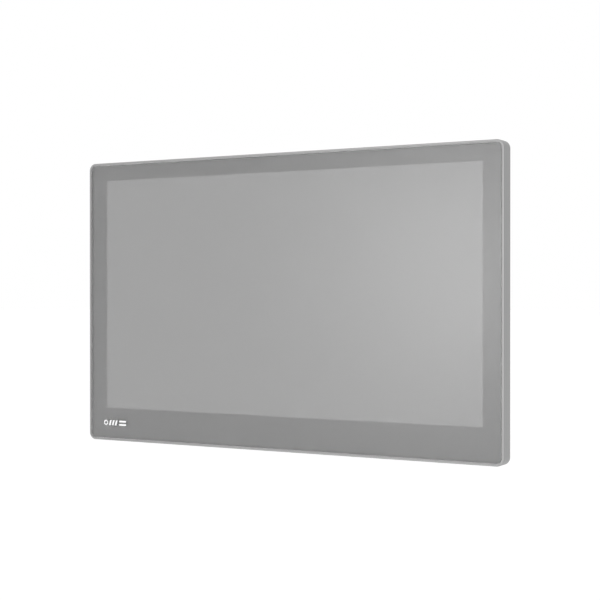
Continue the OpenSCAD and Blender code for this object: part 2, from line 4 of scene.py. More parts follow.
import bmesh
import bpy
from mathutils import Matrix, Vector


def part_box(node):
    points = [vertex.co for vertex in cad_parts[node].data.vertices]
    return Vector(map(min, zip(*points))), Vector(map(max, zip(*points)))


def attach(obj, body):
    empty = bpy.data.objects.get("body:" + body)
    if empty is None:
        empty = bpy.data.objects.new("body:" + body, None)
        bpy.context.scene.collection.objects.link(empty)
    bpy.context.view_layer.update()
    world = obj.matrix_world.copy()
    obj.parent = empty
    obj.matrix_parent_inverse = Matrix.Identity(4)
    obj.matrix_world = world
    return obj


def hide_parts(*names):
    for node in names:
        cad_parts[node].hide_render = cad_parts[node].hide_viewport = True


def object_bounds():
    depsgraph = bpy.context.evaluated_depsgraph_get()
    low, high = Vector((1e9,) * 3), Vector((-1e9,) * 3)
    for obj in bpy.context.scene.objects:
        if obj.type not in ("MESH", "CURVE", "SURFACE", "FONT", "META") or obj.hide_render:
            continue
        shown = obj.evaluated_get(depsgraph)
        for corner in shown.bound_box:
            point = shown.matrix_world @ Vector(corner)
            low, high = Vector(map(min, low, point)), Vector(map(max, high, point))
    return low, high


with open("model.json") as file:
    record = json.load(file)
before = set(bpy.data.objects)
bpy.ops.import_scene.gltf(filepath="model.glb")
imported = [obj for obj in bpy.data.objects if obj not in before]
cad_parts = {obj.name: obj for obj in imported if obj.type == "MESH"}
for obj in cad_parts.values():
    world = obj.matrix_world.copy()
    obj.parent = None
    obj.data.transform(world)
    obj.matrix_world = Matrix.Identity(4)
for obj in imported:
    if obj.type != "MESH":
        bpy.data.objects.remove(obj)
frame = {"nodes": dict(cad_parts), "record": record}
cadLow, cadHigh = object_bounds()
nodes = frame["nodes"]
mm = 0.001
print("frame loaded,", len(nodes), "parts")


# camera, light and floor
camera = {
    "place": (549.6 * mm, -953.3 * mm, 6.2 * mm),
    "turn": 30.23,          # degrees to the left of straight in
    "dip": 0.24,            # degrees down
    "lens": 80.8,
}


def placeCamera():
    data = bpy.data.cameras.new("camera")
    data.lens = camera["lens"]
    data.sensor_width = 36
    data.clip_start, data.clip_end = 0.01, 50
    seat = bpy.data.objects.new("camera", data)
    bpy.context.scene.collection.objects.link(seat)
    turn, dip = math.radians(camera["turn"]), math.radians(camera["dip"])
    ahead = Vector((-math.sin(turn) * math.cos(dip), math.cos(turn) * math.cos(dip), -math.sin(dip)))
    seat.location = camera["place"]
    seat.rotation_mode = "QUATERNION"
    seat.rotation_quaternion = ahead.to_track_quat("-Z", "Y")
    bpy.context.scene.camera = seat


studio = {
    "skyBright": 1.0,
    "skyDim": 0.78,         # the side that the panel's right edge faces
    "keyPlace": (-0.6, -1.95, 0.07),
    "keyAim": (0.17, -0.044, 0.02),
    "keySize": 0.42,
    "keyPower": 4.1,
    "floorDrop": 0.45,      # floor below the panel's lowest edge
    "floorRadius": 60.0,
}


def lightStudio():
    scene = bpy.context.scene
    scene.view_settings.view_transform = "Standard"
    sky = bpy.data.worlds.new("softSky")
    sky.use_nodes = True
    tree = sky.node_tree
    tree.nodes.clear()
    ray = tree.nodes.new("ShaderNodeTexCoord")
    split = tree.nodes.new("ShaderNodeSeparateXYZ")
    fade = tree.nodes.new("ShaderNodeMapRange")
    glow = tree.nodes.new("ShaderNodeBackground")
    end = tree.nodes.new("ShaderNodeOutputWorld")
    fade.inputs["From Min"].default_value = 0.1
    fade.inputs["From Max"].default_value = 0.9
    fade.inputs["To Min"].default_value = studio["skyBright"]
    fade.inputs["To Max"].default_value = studio["skyDim"]
    glow.inputs["Color"].default_value = (1, 1, 1, 1)
    tree.links.new(ray.outputs["Generated"], split.inputs[0])
    tree.links.new(split.outputs["X"], fade.inputs["Value"])
    tree.links.new(fade.outputs[0], glow.inputs["Strength"])
    tree.links.new(glow.outputs[0], end.inputs["Surface"])
    scene.world = sky

    lamp = bpy.data.lights.new("keyPanel", "AREA")
    lamp.shape = "SQUARE"
    lamp.size = studio["keySize"]
    lamp.energy = studio["keyPower"]
    key = bpy.data.objects.new("keyPanel", lamp)
    scene.collection.objects.link(key)
    key.visible_transmission = False      # it makes the soft shine on the glass, not light behind it
    key.location = studio["keyPlace"]
    aim = Vector(studio["keyAim"]) - Vector(studio["keyPlace"])
    key.rotation_mode = "QUATERNION"
    key.rotation_quaternion = aim.to_track_quat("-Z", "Y")


# finishes
def makeFinish(name, dark, light, rough, metal=0.0, grain=3000, cloud=40, stretch=(1, 1, 1),
               bump=0.1, bumpDepth=0.02):
    finish = bpy.data.materials.new(name)
    finish.use_nodes = True
    tree = finish.node_tree
    tree.nodes.clear()
    new, link = tree.nodes.new, tree.links.new
    end = new("ShaderNodeOutputMaterial")
    shader = new("ShaderNodeBsdfPrincipled")
    link(shader.outputs[0], end.inputs["Surface"])
    shader.inputs["Metallic"].default_value = metal
    place = new("ShaderNodeTexCoord")
    scale = new("ShaderNodeMapping")
    scale.inputs["Scale"].default_value = stretch
    link(place.outputs["Object"], scale.inputs["Vector"])
    fine = new("ShaderNodeTexNoise")
    fine.inputs["Scale"].default_value = grain
    fine.inputs["Detail"].default_value = 3
    broad = new("ShaderNodeTexNoise")
    broad.inputs["Scale"].default_value = cloud
    broad.inputs["Detail"].default_value = 2
    link(scale.outputs[0], fine.inputs["Vector"])
    link(place.outputs["Object"], broad.inputs["Vector"])
    blendNoise = new("ShaderNodeMath")
    blendNoise.operation = "MULTIPLY_ADD"
    blendNoise.inputs[1].default_value = 0.5
    link(fine.outputs["Fac"], blendNoise.inputs[0])
    halfBroad = new("ShaderNodeMath")
    halfBroad.operation = "MULTIPLY"
    halfBroad.inputs[1].default_value = 0.5
    link(broad.outputs["Fac"], halfBroad.inputs[0])
    link(halfBroad.outputs[0], blendNoise.inputs[2])
    tint = new("ShaderNodeMix")
    tint.data_type = "RGBA"
    tint.inputs["A"].default_value = (*dark, 1)
    tint.inputs["B"].default_value = (*light, 1)
    link(blendNoise.outputs[0], tint.inputs["Factor"])
    link(tint.outputs["Result"], shader.inputs["Base Color"])
    gloss = new("ShaderNodeMapRange")
    gloss.inputs["To Min"].default_value = rough[0]
    gloss.inputs["To Max"].default_value = rough[1]
    link(blendNoise.outputs[0], gloss.inputs["Value"])
    link(gloss.outputs[0], shader.inputs["Roughness"])
    if bump:
        relief = new("ShaderNodeBump")
        relief.inputs["Strength"].default_value = bump
        relief.inputs["Distance"].default_value = bumpDepth * mm
        link(fine.outputs["Fac"], relief.inputs["Height"])
        link(relief.outputs[0], shader.inputs["Normal"])
    return finish


def grey(value, warm=0.0):
    return (value * (1 + warm), value, value * (1 - warm))


coverGlass = {
    "bend": 1.5,
    "tint": grey(0.97),
    "etched": (0.29, 0.33),       # roughness of the anti-glare face
    "polished": 0.02,             # and of the edges and back
    "etchDepth": 0.1 * mm,
}


def makeGlassFinish():
    look = coverGlass
    finish = bpy.data.materials.new("antiGlareGlass")
    finish.use_nodes = True
    tree = finish.node_tree
    tree.nodes.clear()
    new, link = tree.nodes.new, tree.links.new
    end = new("ShaderNodeOutputMaterial")
    shader = new("ShaderNodeBsdfPrincipled")
    shader.inputs["Base Color"].default_value = (*look["tint"], 1)
    shader.inputs["Transmission Weight"].default_value = 1.0
    shader.inputs["IOR"].default_value = look["bend"]
    link(shader.outputs[0], end.inputs["Surface"])
    place = new("ShaderNodeTexCoord")
    haze = new("ShaderNodeTexNoise")
    haze.inputs["Scale"].default_value = 22
    haze.inputs["Detail"].default_value = 3
    etched = new("ShaderNodeMapRange")
    etched.inputs["To Min"].default_value, etched.inputs["To Max"].default_value = look["etched"]
    link(place.outputs["Object"], haze.inputs["Vector"])
    link(haze.outputs["Fac"], etched.inputs["Value"])
    split = new("ShaderNodeSeparateXYZ")
    outer = new("ShaderNodeMath")
    outer.operation = "LESS_THAN"
    outer.inputs[1].default_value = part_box("cover_glass")[0].y + look["etchDepth"]
    rough = new("ShaderNodeMix")
    rough.inputs["A"].default_value = look["polished"]
    link(place.outputs["Object"], split.inputs[0])
    link(split.outputs["Y"], outer.inputs[0])
    link(outer.outputs[0], rough.inputs["Factor"])
    link(etched.outputs[0], rough.inputs["B"])
    link(rough.outputs["Result"], shader.inputs["Roughness"])
    return finish


def makeFinishes():
    brushedX = (0.04, 1, 1)       # grain drawn out along X
    return {
        "frame_aluminium": makeFinish("frameAluminium", grey(0.31), grey(0.35), (0.38, 0.5),
                                      metal=0.85, grain=2600, bump=0.12),
        "cover_glass": makeGlassFinish(),
        "border_ink": makeFinish("borderInk", grey(0.294), grey(0.308), (0.55, 0.65), grain=700,
                                 bump=0.0),
        "cell_glass": makeFinish("polariser", grey(0.474), grey(0.488), (0.38, 0.42), grain=500,
                                 bump=0.0),
        "mark_ink": makeFinish("markInk", grey(0.9), grey(0.96), (0.5, 0.6), bump=0.03),
        "grey_rubber": makeFinish("greySeal", grey(0.52), grey(0.6), (0.55, 0.7), grain=1200,
                                  bump=0.15, bumpDepth=0.03),
        "black_rubber": makeFinish("gasketRubber", grey(0.018), grey(0.032), (0.6, 0.8),
                                   grain=1800, bump=0.25, bumpDepth=0.05),
        "pad_rubber": makeFinish("padRubber", grey(0.014), grey(0.028), (0.65, 0.85),
                                 grain=1500, bump=0.3, bumpDepth=0.06),
        "foam_tape": makeFinish("foamTape", grey(0.01), grey(0.03), (0.8, 0.95), grain=1200, bump=0.3),
        "module_plastic": makeFinish("modulePlastic", grey(0.022), grey(0.035), (0.5, 0.65)),
        "diffuser_film": makeFinish("diffuserFilm", grey(0.78), grey(0.86), (0.3, 0.45)),
        "guide_acrylic": makeFinish("guideAcrylic", (0.8, 0.84, 0.86), (0.86, 0.89, 0.9), (0.08, 0.14)),
        "led_ceramic": makeFinish("ledCeramic", (0.75, 0.66, 0.22), (0.86, 0.8, 0.4), (0.4, 0.6)),
        "white_reflector": makeFinish("whiteReflector", grey(0.88), grey(0.94), (0.35, 0.5)),
        "zinc_steel": makeFinish("zincSteel", grey(0.4), (0.56, 0.58, 0.6), (0.3, 0.48), metal=1.0,
                                 grain=420, cloud=160, bump=0.12, bumpDepth=0.03),
        "screw_steel": makeFinish("screwSteel", grey(0.42, 0.02), grey(0.6, 0.02), (0.2, 0.36),
                                  metal=1.0, grain=2200, bump=0.1),
        "brass": makeFinish("brassTurned", (0.55, 0.38, 0.14), (0.72, 0.53, 0.22), (0.22, 0.36),
                            metal=1.0, grain=1600, bump=0.1),
        "circuit_board": makeFinish("circuitBoard", (0.008, 0.07, 0.03), (0.02, 0.16, 0.06),
                                    (0.25, 0.4), grain=700, cloud=220, bump=0.2),
        "chip_resin": makeFinish("chipResin", grey(0.012), grey(0.026), (0.5, 0.7), grain=1800),
        "capacitor_sleeve": makeFinish("capacitorSleeve", (0.012, 0.012, 0.04), (0.03, 0.03, 0.08),
                                       (0.25, 0.35)),
        "sink_aluminium": makeFinish("sinkAluminium", grey(0.46), grey(0.6), (0.35, 0.5), metal=1.0,
                                     grain=900, stretch=(1, 1, 0.05), bump=0.15),
        "flex_film": makeFinish("flexFilm", (0.36, 0.14, 0.02), (0.52, 0.24, 0.05), (0.25, 0.4)),
        "ribbon_film": makeFinish("ribbonFilm", grey(0.66), grey(0.76), (0.35, 0.5)),
        "port_shell": makeFinish("portShell", grey(0.5), grey(0.66), (0.18, 0.32), metal=1.0,
                                 grain=900, stretch=brushedX, bump=0.08),
        "contact_gold": makeFinish("contactGold", (0.78, 0.52, 0.15), (0.9, 0.64, 0.24), (0.15, 0.28),
                                   metal=1.0, bump=0.05),
        "vga_blue": makeFinish("portBlue", (0.02, 0.045, 0.24), (0.035, 0.07, 0.34), (0.4, 0.55)),
        "terminal_green": makeFinish("terminalGreen", (0.012, 0.15, 0.06), (0.025, 0.22, 0.09),
                                     (0.4, 0.55)),
        "switch_black": makeFinish("switchBlack", grey(0.012), grey(0.022), (0.35, 0.5), grain=1400,
                                   bump=0.2),
        "key_plastic": makeFinish("keyPlastic", grey(0.02), grey(0.034), (0.45, 0.6), grain=1600,
                                  bump=0.25, bumpDepth=0.03),
        "housing_paint": makeFinish("housingPaint", grey(0.28), grey(0.37), (0.46, 0.68), grain=620,
                                    cloud=26, bump=0.7, bumpDepth=0.11),
        "plate_aluminium": makeFinish("plateAluminium", grey(0.52), grey(0.7), (0.28, 0.42), metal=1.0,
                                      grain=1400, stretch=brushedX, bump=0.12),
    }


finishes = makeFinishes()
finishes["sensor_glass"] = finishes["cell_glass"]
finishes["clear_adhesive"] = finishes["guide_acrylic"]
print("finishes made,", len(finishes))


def dressCadNodes():
    for part in frame["record"]["subparts"]:
        mesh = nodes[part["node"]].data
        mesh.materials.clear()
        mesh.materials.append(finishes[part["material_slot"]])


# mesh helpers
cornerSteps = 10


def roundRing(width, height, radius, y, up=0.0, across=0.0):
    ring = []
    for quarter, (sideX, sideZ) in enumerate(((1, 1), (-1, 1), (-1, -1), (1, -1))):
        for step in range(cornerSteps + 1):
            turn = (quarter + step / cornerSteps) * math.pi / 2
            ring.append((across + sideX * (width / 2 - radius) + radius * math.cos(turn), y,
                         up + sideZ * (height / 2 - radius) + radius * math.sin(turn)))
    return ring


def turnedRing(centreX, centreZ, y, radiusAt, count):
    ring = []
    for step in range(count):
        turn = 2 * math.pi * step / count
        radius = radiusAt(turn) if callable(radiusAt) else radiusAt
        ring.append((centreX + radius * math.sin(turn), y, centreZ + radius * math.cos(turn)))
    return ring


def skinRings(rings, loop=False, capFirst=False, capLast=False):
    count = len(rings[0])
    points = [point for ring in rings for point in ring]
    faces = []
    for i in range(len(rings) if loop else len(rings) - 1):
        a, b = i * count, (i + 1) % len(rings) * count
        for k in range(count):
            n = (k + 1) % count
            faces.append((a + k, a + n, b + n, b + k))
    if capFirst:
        faces.append(tuple(range(count)))
    if capLast:
        faces.append(tuple(reversed(range(len(points) - count, len(points)))))
    return points, faces


def extrudeOutline(outline, yFrom, yTo):
    count = len(outline)
    points = [(x, yFrom, z) for x, z in outline] + [(x, yTo, z) for x, z in outline]
    faces = [(k, (k + 1) % count, count + (k + 1) % count, count + k) for k in range(count)]
    faces += [tuple(reversed(range(count))), tuple(range(count, 2 * count))]
    return points, faces


def joinShapes(shapes):
    points, faces = [], []
    for morePoints, moreFaces in shapes:
        base = len(points)
        points += morePoints
        faces += [tuple(base + i for i in face) for face in moreFaces]
    return points, faces


def addPiece(name, shape, slot, body="root", finish=None, stands=(), sharp=40, weighted=False):
    mesh = bpy.data.meshes.new(name)
    mesh.from_pydata(shape[0], [], shape[1])
    work = bmesh.new()
    work.from_mesh(mesh)
    bmesh.ops.recalc_face_normals(work, faces=work.faces)
    work.to_mesh(mesh)
    work.free()
    mesh.shade_smooth()
    mesh.set_sharp_from_angle(angle=math.radians(sharp))
    mesh.materials.append(finishes[finish or slot])
    piece = bpy.data.objects.new(name, mesh)
    bpy.context.scene.collection.objects.link(piece)
    if weighted:                  # keeps the flats flat beside their rounded edges
        evened = piece.modifiers.new("evenNormals", "WEIGHTED_NORMAL")
        evened.keep_sharp = True
    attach(piece, body)
    if stands:
        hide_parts(*stands)
    return piece


def boxSize(node):
    low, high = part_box(node)
    return low, high, high - low, (low + high) / 2


# front frame: a rim with softened edges, ledge, pocket, floor, ring and gasket groove
frontFrame = {
    "corner": 6.0 * mm,
    "outerRound": 0.4 * mm,
    "innerRound": 0.2 * mm,
    "backRound": 0.4 * mm,
    "roundSteps": 5,
    "openingSize": (310 * mm, 176 * mm),
    "pocketPlay": 0.5 * mm,
    "ringWall": 2.5 * mm,
    "ringCorner": 1.3 * mm,
    "ringPlay": 2.6 * mm,         # how much narrower the ring is than the housing
    "ringHeight": 205.4 * mm,
    "pocketCorner": 1.0 * mm,
    "openingCorner": 6.0 * mm,
    "grooveWidth": 5.0 * mm,
    "groovePlay": 0.2 * mm,
    "grooveCorners": (2.0 * mm, 5.0 * mm),
    "floorThick": 1.75 * mm,
}


def buildFrontFrame():
    look = frontFrame
    low, high, size, _ = boxSize("front_frame")
    _, _, sealSize, _ = boxSize("glass_seal")
    _, tapeHigh, _, _ = boxSize("glass_tape")
    _, _, moduleSize, moduleMid = boxSize("lcd_mid_frame")
    gasketLow, _, gasketSize, _ = boxSize("panel_gasket")
    _, _, housingSize, _ = boxSize("rear_housing")
    front = low.y
    rim = (size.x - sealSize.x) / 2
    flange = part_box("rear_housing")[0].y
    ringBack = high.y

    def around(inset, y):
        return roundRing(size.x - 2 * inset, size.z - 2 * inset,
                         max(look["corner"] - inset, 0.3 * mm), y)

    def arc(steps):
        return [math.pi / 2 * i / steps for i in range(steps + 1)]

    rings = []
    outer, inner, back = look["outerRound"], look["innerRound"], look["backRound"]
    for t in arc(look["roundSteps"]):
        rings.append(around(back * (1 - math.sin(t)), flange - back * (1 - math.cos(t))))
    for t in arc(look["roundSteps"]):
        rings.append(around(outer * (1 - math.cos(t)), front + outer * (1 - math.sin(t))))
    for t in arc(look["roundSteps"]):
        rings.append(around(rim - inner + inner * math.sin(t), front + inner * (1 - math.cos(t))))
    ledge = tapeHigh.y
    floor = flange - look["floorThick"]
    rings.append(around(rim, ledge))
    pocketW = moduleSize.x + 2 * look["pocketPlay"]
    pocketH = moduleSize.z + 2 * look["pocketPlay"]
    openW, openH = look["openingSize"]
    pocketR, openR = look["pocketCorner"], look["openingCorner"]
    rings.append(roundRing(pocketW, pocketH, pocketR, ledge, moduleMid.z))
    rings.append(roundRing(pocketW, pocketH, pocketR, floor, moduleMid.z))
    rings.append(roundRing(openW, openH, openR, floor, moduleMid.z))
    rings.append(roundRing(openW, openH, openR, flange, moduleMid.z))
    ringW, ringH = housingSize.x - look["ringPlay"], look["ringHeight"]
    wall = look["ringWall"]
    rings.append(roundRing(ringW - 2 * wall, ringH - 2 * wall, mm, flange))
    rings.append(roundRing(ringW - 2 * wall, ringH - 2 * wall, mm, ringBack))
    rings.append(roundRing(ringW, ringH, look["ringCorner"], ringBack))
    rings.append(roundRing(ringW, ringH, look["ringCorner"], flange))
    grooveW, grooveH = gasketSize.x + look["groovePlay"], gasketSize.z + look["groovePlay"]
    width = look["grooveWidth"]
    tight, wide = look["grooveCorners"]
    for w, h, r, y in ((grooveW - 2 * width, grooveH - 2 * width, tight, flange),
                       (grooveW - 2 * width, grooveH - 2 * width, tight, gasketLow.y),
                       (grooveW, grooveH, wide, gasketLow.y),
                       (grooveW, grooveH, wide, flange)):
        rings.append(roundRing(w, h, r, y))
    addPiece("frontFrame", skinRings(rings, loop=True), "frame_aluminium",
             stands=["front_frame"], weighted=True)


# glass sheet with polished edges, and the display face bonded behind its window
glass = {
    "corner": 3.9 * mm,
    "edgeRound": 0.25 * mm,
    "windowPlay": 0.02 * mm,
    "faceGap": 0.01 * mm,
}


def buildGlass():
    low, high, size, _ = boxSize("cover_glass")
    edge, corner = glass["edgeRound"], glass["corner"]
    rings = []
    for step in range(6):
        t = math.pi / 2 * step / 5
        inset = edge * (1 - math.sin(t))
        rings.append(roundRing(size.x - 2 * inset, size.z - 2 * inset, corner - inset,
                               low.y + edge * (1 - math.cos(t))))
    for step in range(6):
        t = math.pi / 2 * step / 5
        inset = edge * (1 - math.cos(t))
        rings.append(roundRing(size.x - 2 * inset, size.z - 2 * inset, corner - inset,
                               high.y - edge * (1 - math.sin(t))))
    addPiece("coverGlass", skinRings(rings, capFirst=True, capLast=True), "cover_glass",
             stands=["cover_glass"], weighted=True)


def buildDisplayFace():
    _, bondHigh, bondSize, bondMid = boxSize("optical_adhesive")
    inkLow, _, _, _ = boxSize("border_mask")
    play = glass["windowPlay"]
    w, h = bondSize.x - play, bondSize.z - play
    front, back = inkLow.y + glass["faceGap"], bondHigh.y - glass["faceGap"]
    rings = [roundRing(w, h, 0.05 * mm, y, bondMid.z) for y in (front, back)]
    addPiece("displayFace", skinRings(rings, capFirst=True, capLast=True), "cell_glass",
             stands=["touch_sensor", "optical_adhesive"])


# printed mark at the lower left: a ring, slanted bars and two capsules, no lettering
mark = {
    "place": (-162 * mm, -103 * mm),
    "width": 24 * mm,
    "height": 4.4 * mm,
    "bars": 3,
    "barWidth": 1.7 * mm,
    "barPitch": 3.1 * mm,
    "slant": 1.3 * mm,
    "gap": 0.9 * mm,              # between ring and bars
    "ringHole": 0.55,             # share of the ring's radius
    "pillAt": 0.32,               # share of the height, above and below the middle
    "pillRadius": 0.75 * mm,
    "thick": 0.03 * mm,
    "lift": 0.005 * mm,
}


def circlePoints(centreX, centreZ, radius, count=32, first=0.0, last=2 * math.pi):
    return [(centreX + radius * math.cos(first + (last - first) * i / count),
             centreZ + radius * math.sin(first + (last - first) * i / count)) for i in range(count)]


def flatRing(centreX, centreZ, outer, inner, yFrom, yTo, count=36):
    rings = [[(x, y, z) for x, z in circlePoints(centreX, centreZ, r, count)]
             for r, y in ((outer, yFrom), (outer, yTo), (inner, yTo), (inner, yFrom))]
    return skinRings(rings, loop=True)


def capsule(left, right, centreZ, radius, count=12):
    ends = []
    for x, first in ((right, -math.pi / 2), (left, math.pi / 2)):
        ends += [(x + radius * math.cos(first + math.pi * i / count),
                  centreZ + radius * math.sin(first + math.pi * i / count)) for i in range(count + 1)]
    return ends


def buildMark():
    middleX, middleZ = mark["place"]
    left, half = middleX - mark["width"] / 2, mark["height"] / 2
    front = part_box("cover_glass")[0].y
    yFrom, yTo = front - mark["thick"], front - mark["lift"]
    shapes = [flatRing(left + half, middleZ, half, half * mark["ringHole"], yFrom, yTo)]
    barLeft = left + mark["height"] + mark["gap"]
    for i in range(mark["bars"]):
        x = barLeft + i * mark["barPitch"]
        shapes.append(extrudeOutline([(x, middleZ - half), (x + mark["barWidth"], middleZ - half),
                                      (x + mark["barWidth"] + mark["slant"], middleZ + half),
                                      (x + mark["slant"], middleZ + half)], yFrom, yTo))
    pillLeft = barLeft + mark["bars"] * mark["barPitch"] + mark["slant"]
    for z in (-mark["pillAt"], mark["pillAt"]):
        shapes.append(extrudeOutline(capsule(pillLeft + mm, left + mark["width"] - mm,
                                             middleZ + z * mark["height"], mark["pillRadius"]),
                                     yFrom, yTo))
    addPiece("printedMark", joinShapes(shapes), "border_ink", finish="mark_ink")


# flange gasket with two soft ribs
gasketProfile = {
    "corner": 4.9 * mm,
    "section": [(0, 0), (0, 1.6), (0.35, 2.2), (1.1, 2.5), (1.7, 2.25), (2.4, 2.1),
                (3.1, 2.25), (3.7, 2.5), (4.45, 2.2), (4.8, 1.6), (4.8, 0)],
}


def buildGasket():
    low, _, size, _ = boxSize("panel_gasket")
    rings = [roundRing(size.x - 2 * i * mm, size.z - 2 * i * mm,
                       max(gasketProfile["corner"] - i * mm, 0.4 * mm), low.y + d * mm)
             for i, d in gasketProfile["section"]]
    addPiece("flangeGasket", skinRings(rings, loop=True), "black_rubber",
             stands=["panel_gasket"], sharp=60)


# clamp screws with a cut thread, a knurled head and a hexagon socket
clampScrew = {
    "pitch": 0.7 * mm,
    "crest": 2.0 * mm,
    "root": 1.68 * mm,
    "around": 32,
    "rowsPerTurn": 6,
    "headHeight": 3.8 * mm,
    "knurls": 30,
    "knurlDepth": 0.16 * mm,
    "socketFlat": 1.5 * mm,
    "socketDeep": 2.2 * mm,
}

clampPad = {
    "edgeRound": 0.35 * mm,
    "grooveAt": (0.45, 0.7),        # shares of the radius
    "grooveDeep": 0.3 * mm,
    "collar": 0.62,
    "boreRadius": 2.06 * mm,
    "boreFrom": 1.16 * mm,          # depth of the bore's blind end, from the pad's face
}

clampPlaces = ["upper_left", "upper_middle", "upper_right",
               "lower_left", "lower_middle", "lower_right"]


def buildClampScrew(place):
    look = clampScrew
    node = "clamp_screw_" + place
    low, high, size, middle = boxSize(node)
    x, z = middle.x, middle.z
    seat = high.y - look["headHeight"]

    def threadRadius(y):
        def at(turn):
            phase = ((y - low.y) / look["pitch"] - turn / (2 * math.pi)) % 1
            return look["root"] + (look["crest"] - look["root"]) * (1 - abs(2 * phase - 1))
        return at

    step = look["pitch"] / look["rowsPerTurn"]
    rows = int((seat - low.y) / step)
    shank = [turnedRing(x, z, low.y, look["root"] * 0.8, look["around"])]
    shank += [turnedRing(x, z, low.y + i * step, threadRadius(low.y + i * step), look["around"])
              for i in range(3, rows)]
    shank.append(turnedRing(x, z, seat + 0.5 * mm, look["root"], look["around"]))
    headR = size.x / 2

    def knurled(share):
        return lambda turn: headR * share - look["knurlDepth"] * abs(math.sin(look["knurls"] * turn / 2))

    def hexagon(turn):
        return look["socketFlat"] / math.cos((turn % (math.pi / 3)) - math.pi / 6)

    count = 120
    top = high.y
    head = [turnedRing(x, z, seat, headR * 0.9, count),
            turnedRing(x, z, seat + 0.25 * mm, knurled(1.0), count),
            turnedRing(x, z, top - 0.8 * mm, knurled(1.0), count),
            turnedRing(x, z, top - 0.3 * mm, headR * 0.95, count),
            turnedRing(x, z, top, headR * 0.84, count),
            turnedRing(x, z, top, look["socketFlat"] * 1.28, count),
            turnedRing(x, z, top - 0.15 * mm, hexagon, count),
            turnedRing(x, z, top - look["socketDeep"], hexagon, count)]
    shape = joinShapes([skinRings(shank, capFirst=True, capLast=True),
                        skinRings(head, capFirst=True, capLast=True)])
    addPiece("clampScrew_" + place, shape, "screw_steel", node, stands=[node], sharp=35)


def buildClampPad(place):
    look = clampPad
    node = "clamp_pad_" + place
    low, _, size, middle = boxSize(node)
    radius, edge = size.x / 2, look["edgeRound"]
    inner, outer = (share * radius for share in look["grooveAt"])
    profile = [(inner, 0), (inner + 0.2 * mm, look["grooveDeep"]),
               (outer - 0.2 * mm, look["grooveDeep"]), (outer, 0), (radius - edge, 0)]
    profile += [(radius - edge * (1 - math.sin(t)), edge * (1 - math.cos(t)))
                for t in (0.4, 0.8, 1.2, math.pi / 2)]
    deep = size.y
    bore = look["boreRadius"]
    profile += [(radius, deep * 0.6), (radius * 0.93, deep * 0.72), (radius * 0.72, deep * 0.8),
                (radius * look["collar"], deep), (bore, deep), (bore, look["boreFrom"])]
    rings = [turnedRing(middle.x, middle.z, low.y + d, r, 48) for r, d in profile]
    addPiece("clampPad_" + place, skinRings(rings, capFirst=True, capLast=True), "pad_rubber",
             node, stands=[node])


# rear keys: stem, flange and a dished cap, with a plain sign on each
rearKey = {
    "cap": (8 * mm, 5 * mm, 2 * mm),
    "flange": (9.6 * mm, 6.6 * mm, 2.5 * mm),
    "stem": 3 * mm,
    "sheet": 1.2 * mm,
    "edgeRound": 0.45 * mm,
    "dish": 0.18 * mm,
    "dishInset": 1.2 * mm,
    "dishCorner": 1.0 * mm,
    "signHeight": 0.04 * mm,
    "signHalf": 0.75 * mm,
    "strokeHalf": 0.12 * mm,
    "barPitch": 0.55 * mm,
    "signs": {"key_menu": "bars", "key_down": "down", "key_up": "up",
              "key_select": "ring", "key_power": "power"},
}


def buildRearKey(node, sign):
    look = rearKey
    low, high, _, middle = boxSize(node)
    x, z = middle.x, middle.z
    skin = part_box("rear_housing")[1].y - look["sheet"]
    w, h, r = look["cap"]
    fw, fh, fr = look["flange"]
    stem, edge, top = look["stem"], look["edgeRound"], high.y
    rings = [roundRing(stem, stem, stem / 2, low.y, z, x),
             roundRing(stem, stem, stem / 2, skin - mm, z, x),
             roundRing(fw, fh, fr, skin - mm, z, x),
             roundRing(fw, fh, fr, skin - 0.05 * mm, z, x),
             roundRing(w, h, r, skin - 0.05 * mm, z, x)]
    for step in range(5):
        t = math.pi / 2 * step / 4
        inset = edge * (1 - math.cos(t))
        rings.append(roundRing(w - 2 * inset, h - 2 * inset, r - inset,
                               top - edge * (1 - math.sin(t)), z, x))
    inset = look["dishInset"]
    rings.append(roundRing(w - 2 * inset, h - 2 * inset, look["dishCorner"], top - look["dish"], z, x))
    addPiece("cap_" + node, skinRings(rings, capFirst=True, capLast=True), "key_plastic", node,
             stands=[node], weighted=True)

    yFrom = top - look["dish"] - 0.02 * mm
    yTo = yFrom + look["signHeight"]
    tall, stroke, pitch = look["signHalf"], look["strokeHalf"], look["barPitch"]
    if sign == "bars":
        shapes = [extrudeOutline([(x - tall, z + k - stroke), (x + tall, z + k - stroke),
                                  (x + tall, z + k + stroke), (x - tall, z + k + stroke)], yFrom, yTo)
                  for k in (-pitch, 0, pitch)]
    elif sign in ("up", "down"):
        s = tall if sign == "up" else -tall
        shapes = [extrudeOutline([(x - tall, z - s * 0.7), (x + tall, z - s * 0.7), (x, z + s * 0.8)],
                                 yFrom, yTo)]
    else:
        shapes = [flatRing(x, z, tall, tall * 0.68, yFrom, yTo)]
        if sign == "power":
            shapes.append(extrudeOutline([(x - stroke, z), (x + stroke, z),
                                          (x + stroke, z + tall * 1.25),
                                          (x - stroke, z + tall * 1.25)], yFrom, yTo + 0.01 * mm))
    addPiece("sign_" + node, joinShapes(shapes), "key_plastic", node, finish="mark_ink")


# rocker signs: a bar and a ring, raised on the paddle's two faces
rocker = {
    "pivot": (-50 * mm, -13 * mm, -104 * mm),
    "tilt": 7.0,
    "crown": -1.7 * mm,
    "tipDrop": 0.9 * mm,
    "halfLength": 8.4 * mm,
    "signAt": 4.6 * mm,
    "raise": 0.05 * mm,
    "barHalf": (0.3 * mm, 1.8 * mm),
    "ringRadii": (1.7 * mm, 1.15 * mm),
}


